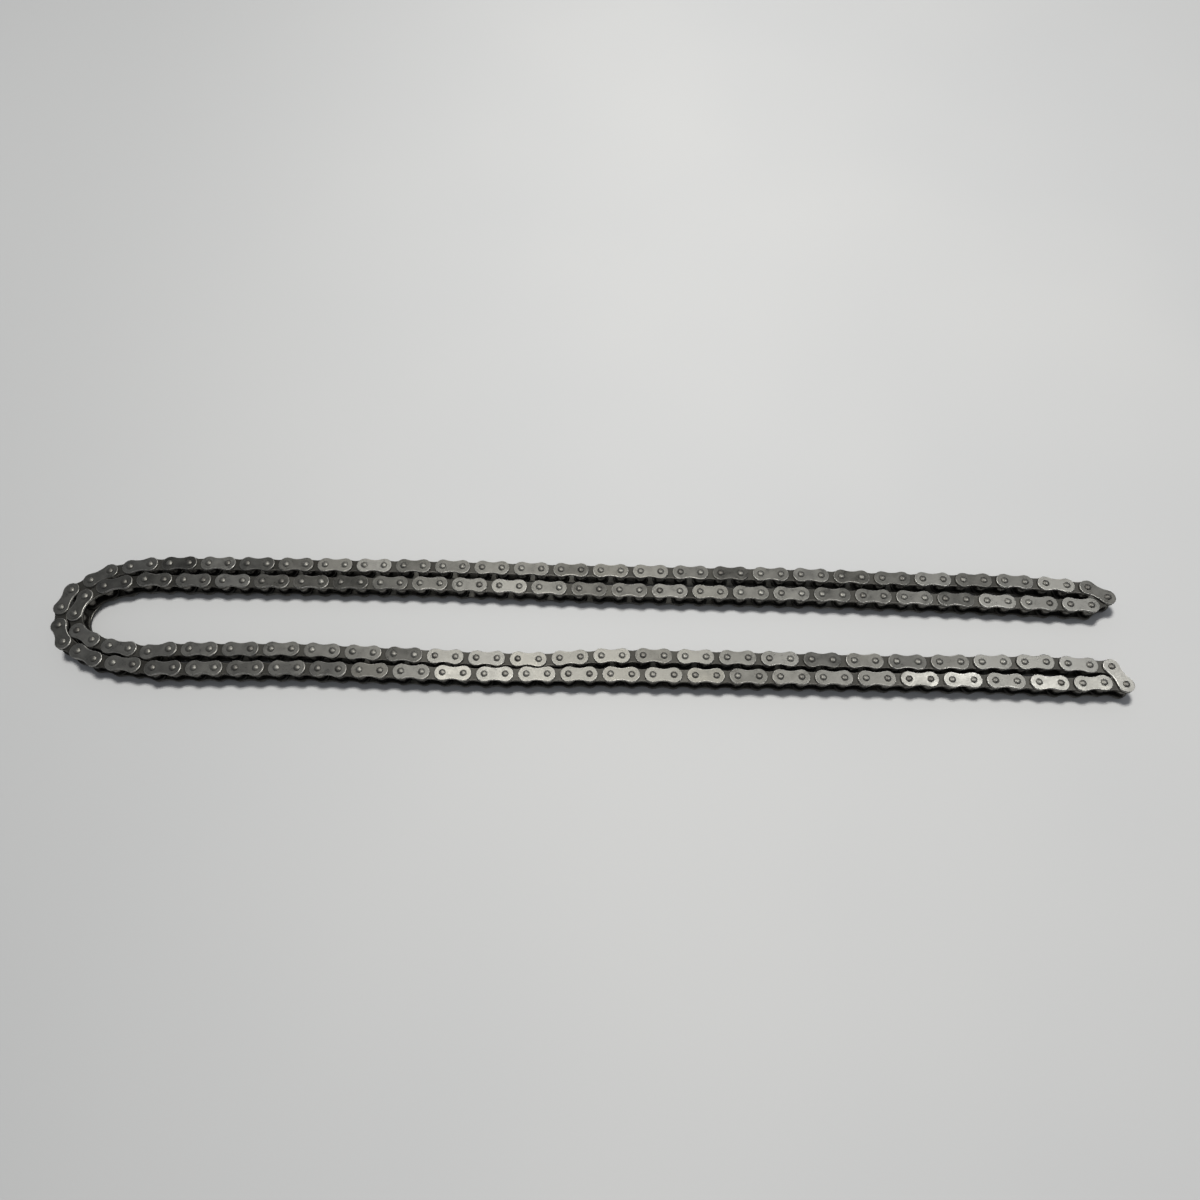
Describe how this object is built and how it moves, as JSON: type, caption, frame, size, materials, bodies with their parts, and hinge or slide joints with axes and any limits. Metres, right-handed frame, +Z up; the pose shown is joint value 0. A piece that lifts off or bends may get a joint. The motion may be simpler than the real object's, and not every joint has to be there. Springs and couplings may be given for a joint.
{
  "type": "roller drive chain",
  "caption": "Endless roller chain for a light motorcycle, lying on its side, its flattened loop folded back into a U, with riveted waisted plates.",
  "frame": {"origin": "middle of the loop's footprint as it lies, on the surface that the lower pin ends stand on", "axes": "+X along the strands, from the single bend towards the two hairpin tips; +Y from the loose lower strands towards the upper strands; +Z up, along the pins"},
  "size_m": [0.6658, 0.0848, 0.0135],
  "materials": {
    "outer_plate_steel": "satin, bare",
    "inner_plate_steel": "satin, bare",
    "pin_steel": "smooth, riveted ends",
    "bush_steel": "turned",
    "roller_steel": "turned and polished"
  },
  "bodies": {
    "upper_pair": {"upper_pair_outer_plates": "outer_plate_steel", "upper_pair_inner_plates": "inner_plate_steel", "upper_pair_pins": "pin_steel", "upper_pair_bushes": "bush_steel", "upper_pair_rollers": "roller_steel"},
    "outer_bend": {"outer_bend_upper_outer_plates": "outer_plate_steel", "outer_bend_upper_inner_plates": "inner_plate_steel", "outer_bend_upper_pins": "pin_steel", "outer_bend_upper_bushes": "bush_steel", "outer_bend_lower_outer_plates": "outer_plate_steel", "outer_bend_lower_inner_plates": "inner_plate_steel", "outer_bend_lower_pins": "pin_steel", "outer_bend_lower_bushes": "bush_steel"},
    "outer_bend_upper_roller_1": {"outer_bend_upper_roller_1": "roller_steel"},
    "outer_bend_upper_roller_2": {"outer_bend_upper_roller_2": "roller_steel"},
    "outer_bend_lower_roller_1": {"outer_bend_lower_roller_1": "roller_steel"},
    "outer_bend_lower_roller_2": {"outer_bend_lower_roller_2": "roller_steel"},
    "lower_outer": {"lower_outer_outer_plates": "outer_plate_steel", "lower_outer_inner_plates": "inner_plate_steel", "lower_outer_pins": "pin_steel", "lower_outer_bushes": "bush_steel", "lower_outer_rollers": "roller_steel"},
    "tail": {"tail_outer_plates": "outer_plate_steel", "tail_inner_plates": "inner_plate_steel", "tail_pins": "pin_steel", "tail_bushes": "bush_steel", "tail_rollers": "roller_steel"},
    "inner_bend": {"inner_bend_upper_outer_plates": "outer_plate_steel", "inner_bend_upper_inner_plates": "inner_plate_steel", "inner_bend_upper_pins": "pin_steel", "inner_bend_upper_bushes": "bush_steel"},
    "inner_bend_upper_roller_1": {"inner_bend_upper_roller_1": "roller_steel"},
    "inner_bend_upper_roller_2": {"inner_bend_upper_roller_2": "roller_steel"},
    "lower_inner": {"inner_bend_lower_outer_plates": "outer_plate_steel", "inner_bend_lower_inner_plates": "inner_plate_steel", "inner_bend_lower_pins": "pin_steel", "inner_bend_lower_bushes": "bush_steel", "lower_inner_outer_plates": "outer_plate_steel", "lower_inner_inner_plates": "inner_plate_steel", "lower_inner_pins": "pin_steel", "lower_inner_bushes": "bush_steel", "lower_inner_rollers": "roller_steel"},
    "inner_bend_lower_roller_1": {"inner_bend_lower_roller_1": "roller_steel"},
    "inner_bend_lower_roller_2": {"inner_bend_lower_roller_2": "roller_steel"},
    "tip_inner_link": {"tip_inner_link_plates": "inner_plate_steel", "tip_inner_link_bushes": "bush_steel"},
    "tip_front_roller": {"tip_front_roller": "roller_steel"},
    "tip_back_roller": {"tip_back_roller": "roller_steel"},
    "tip_outer_link": {"tip_outer_link_plates": "outer_plate_steel", "tip_outer_link_pin": "pin_steel", "open_pivot_pin_ends": "pin_steel"}
  },
  "joints": [
    {"name": "outer_bend_joint_1", "type": "hinge", "parent": "upper_pair", "child": "outer_bend", "pos_m": [-0.30432, 0.02883, 0.00675], "axis": [0, 0, -1], "range_deg": [0, 75]},
    {"name": "outer_bend_joint_2", "type": "hinge", "parent": "outer_bend", "child": "lower_outer", "pos_m": [-0.32557, -0.01048, 0.00675], "axis": [0, 0, -1], "range_deg": [0, 75]},
    {"name": "inner_bend_joint_1", "type": "hinge", "parent": "upper_pair", "child": "inner_bend", "pos_m": [-0.3049, 0.01778, 0.00675], "axis": [0, 0, -1], "range_deg": [0, 60]},
    {"name": "inner_bend_joint_2", "type": "hinge", "parent": "inner_bend", "child": "lower_inner", "pos_m": [-0.31812, -0.00219, 0.00675], "axis": [0, 0, -1], "range_deg": [0, 90]},
    {"name": "tail_joint", "type": "hinge", "parent": "lower_outer", "child": "tail", "pos_m": [0.05881, -0.03374, 0.00675], "axis": [0, 0, -1], "range_deg": [0, 65]},
    {"name": "tip_inner_link_joint", "type": "hinge", "parent": "tail", "child": "tip_inner_link", "pos_m": [0.31276, -0.03186, 0.00675], "axis": [0, 0, -1], "range_deg": [0, 100]},
    {"name": "tip_outer_link_joint", "type": "hinge", "parent": "tip_inner_link", "child": "tip_outer_link", "pos_m": [0.32544, -0.03267, 0.00675], "axis": [0, 0, -1], "range_deg": [0, 130]},
    {"name": "tip_front_roller_spin", "type": "hinge", "parent": "tip_inner_link", "child": "tip_front_roller", "pos_m": [0.32544, -0.03267, 0.00675], "axis": [0, 0, -1], "continuous": true},
    {"name": "tip_back_roller_spin", "type": "hinge", "parent": "tip_inner_link", "child": "tip_back_roller", "pos_m": [0.31276, -0.03186, 0.00675], "axis": [0, 0, -1], "continuous": true},
    {"name": "outer_bend_upper_roller_1_spin", "type": "hinge", "parent": "outer_bend", "child": "outer_bend_upper_roller_1", "pos_m": [-0.31487, 0.02176, 0.00675], "axis": [0, 0, -1], "continuous": true},
    {"name": "outer_bend_upper_roller_2_spin", "type": "hinge", "parent": "outer_bend", "child": "outer_bend_upper_roller_2", "pos_m": [-0.32521, 0.01439, 0.00675], "axis": [0, 0, -1], "continuous": true},
    {"name": "outer_bend_lower_roller_1_spin", "type": "hinge", "parent": "outer_bend", "child": "outer_bend_lower_roller_1", "pos_m": [-0.32797, 0.00199, 0.00675], "axis": [0, 0, -1], "continuous": true},
    {"name": "outer_bend_lower_roller_2_spin", "type": "hinge", "parent": "outer_bend", "child": "outer_bend_lower_roller_2", "pos_m": [-0.32557, -0.01048, 0.00675], "axis": [0, 0, -1], "continuous": true},
    {"name": "inner_bend_upper_roller_1_spin", "type": "hinge", "parent": "inner_bend", "child": "inner_bend_upper_roller_1", "pos_m": [-0.3049, 0.01778, 0.00675], "axis": [0, 0, -1], "continuous": true},
    {"name": "inner_bend_upper_roller_2_spin", "type": "hinge", "parent": "inner_bend", "child": "inner_bend_upper_roller_2", "pos_m": [-0.31504, 0.01013, 0.00675], "axis": [0, 0, -1], "continuous": true},
    {"name": "inner_bend_lower_roller_1_spin", "type": "hinge", "parent": "lower_inner", "child": "inner_bend_lower_roller_1", "pos_m": [-0.31812, -0.00219, 0.00675], "axis": [0, 0, -1], "continuous": true},
    {"name": "inner_bend_lower_roller_2_spin", "type": "hinge", "parent": "lower_inner", "child": "inner_bend_lower_roller_2", "pos_m": [-0.31275, -0.0137, 0.00675], "axis": [0, 0, -1], "continuous": true}
  ],
  "couplings": [
    {"joint": "outer_bend_joint_1", "follows": "outer_bend_joint_2", "ratio": 1},
    {"joint": "inner_bend_joint_1", "follows": "outer_bend_joint_2", "ratio": 0.8},
    {"joint": "inner_bend_joint_2", "follows": "outer_bend_joint_2", "ratio": 1.2}
  ]
}
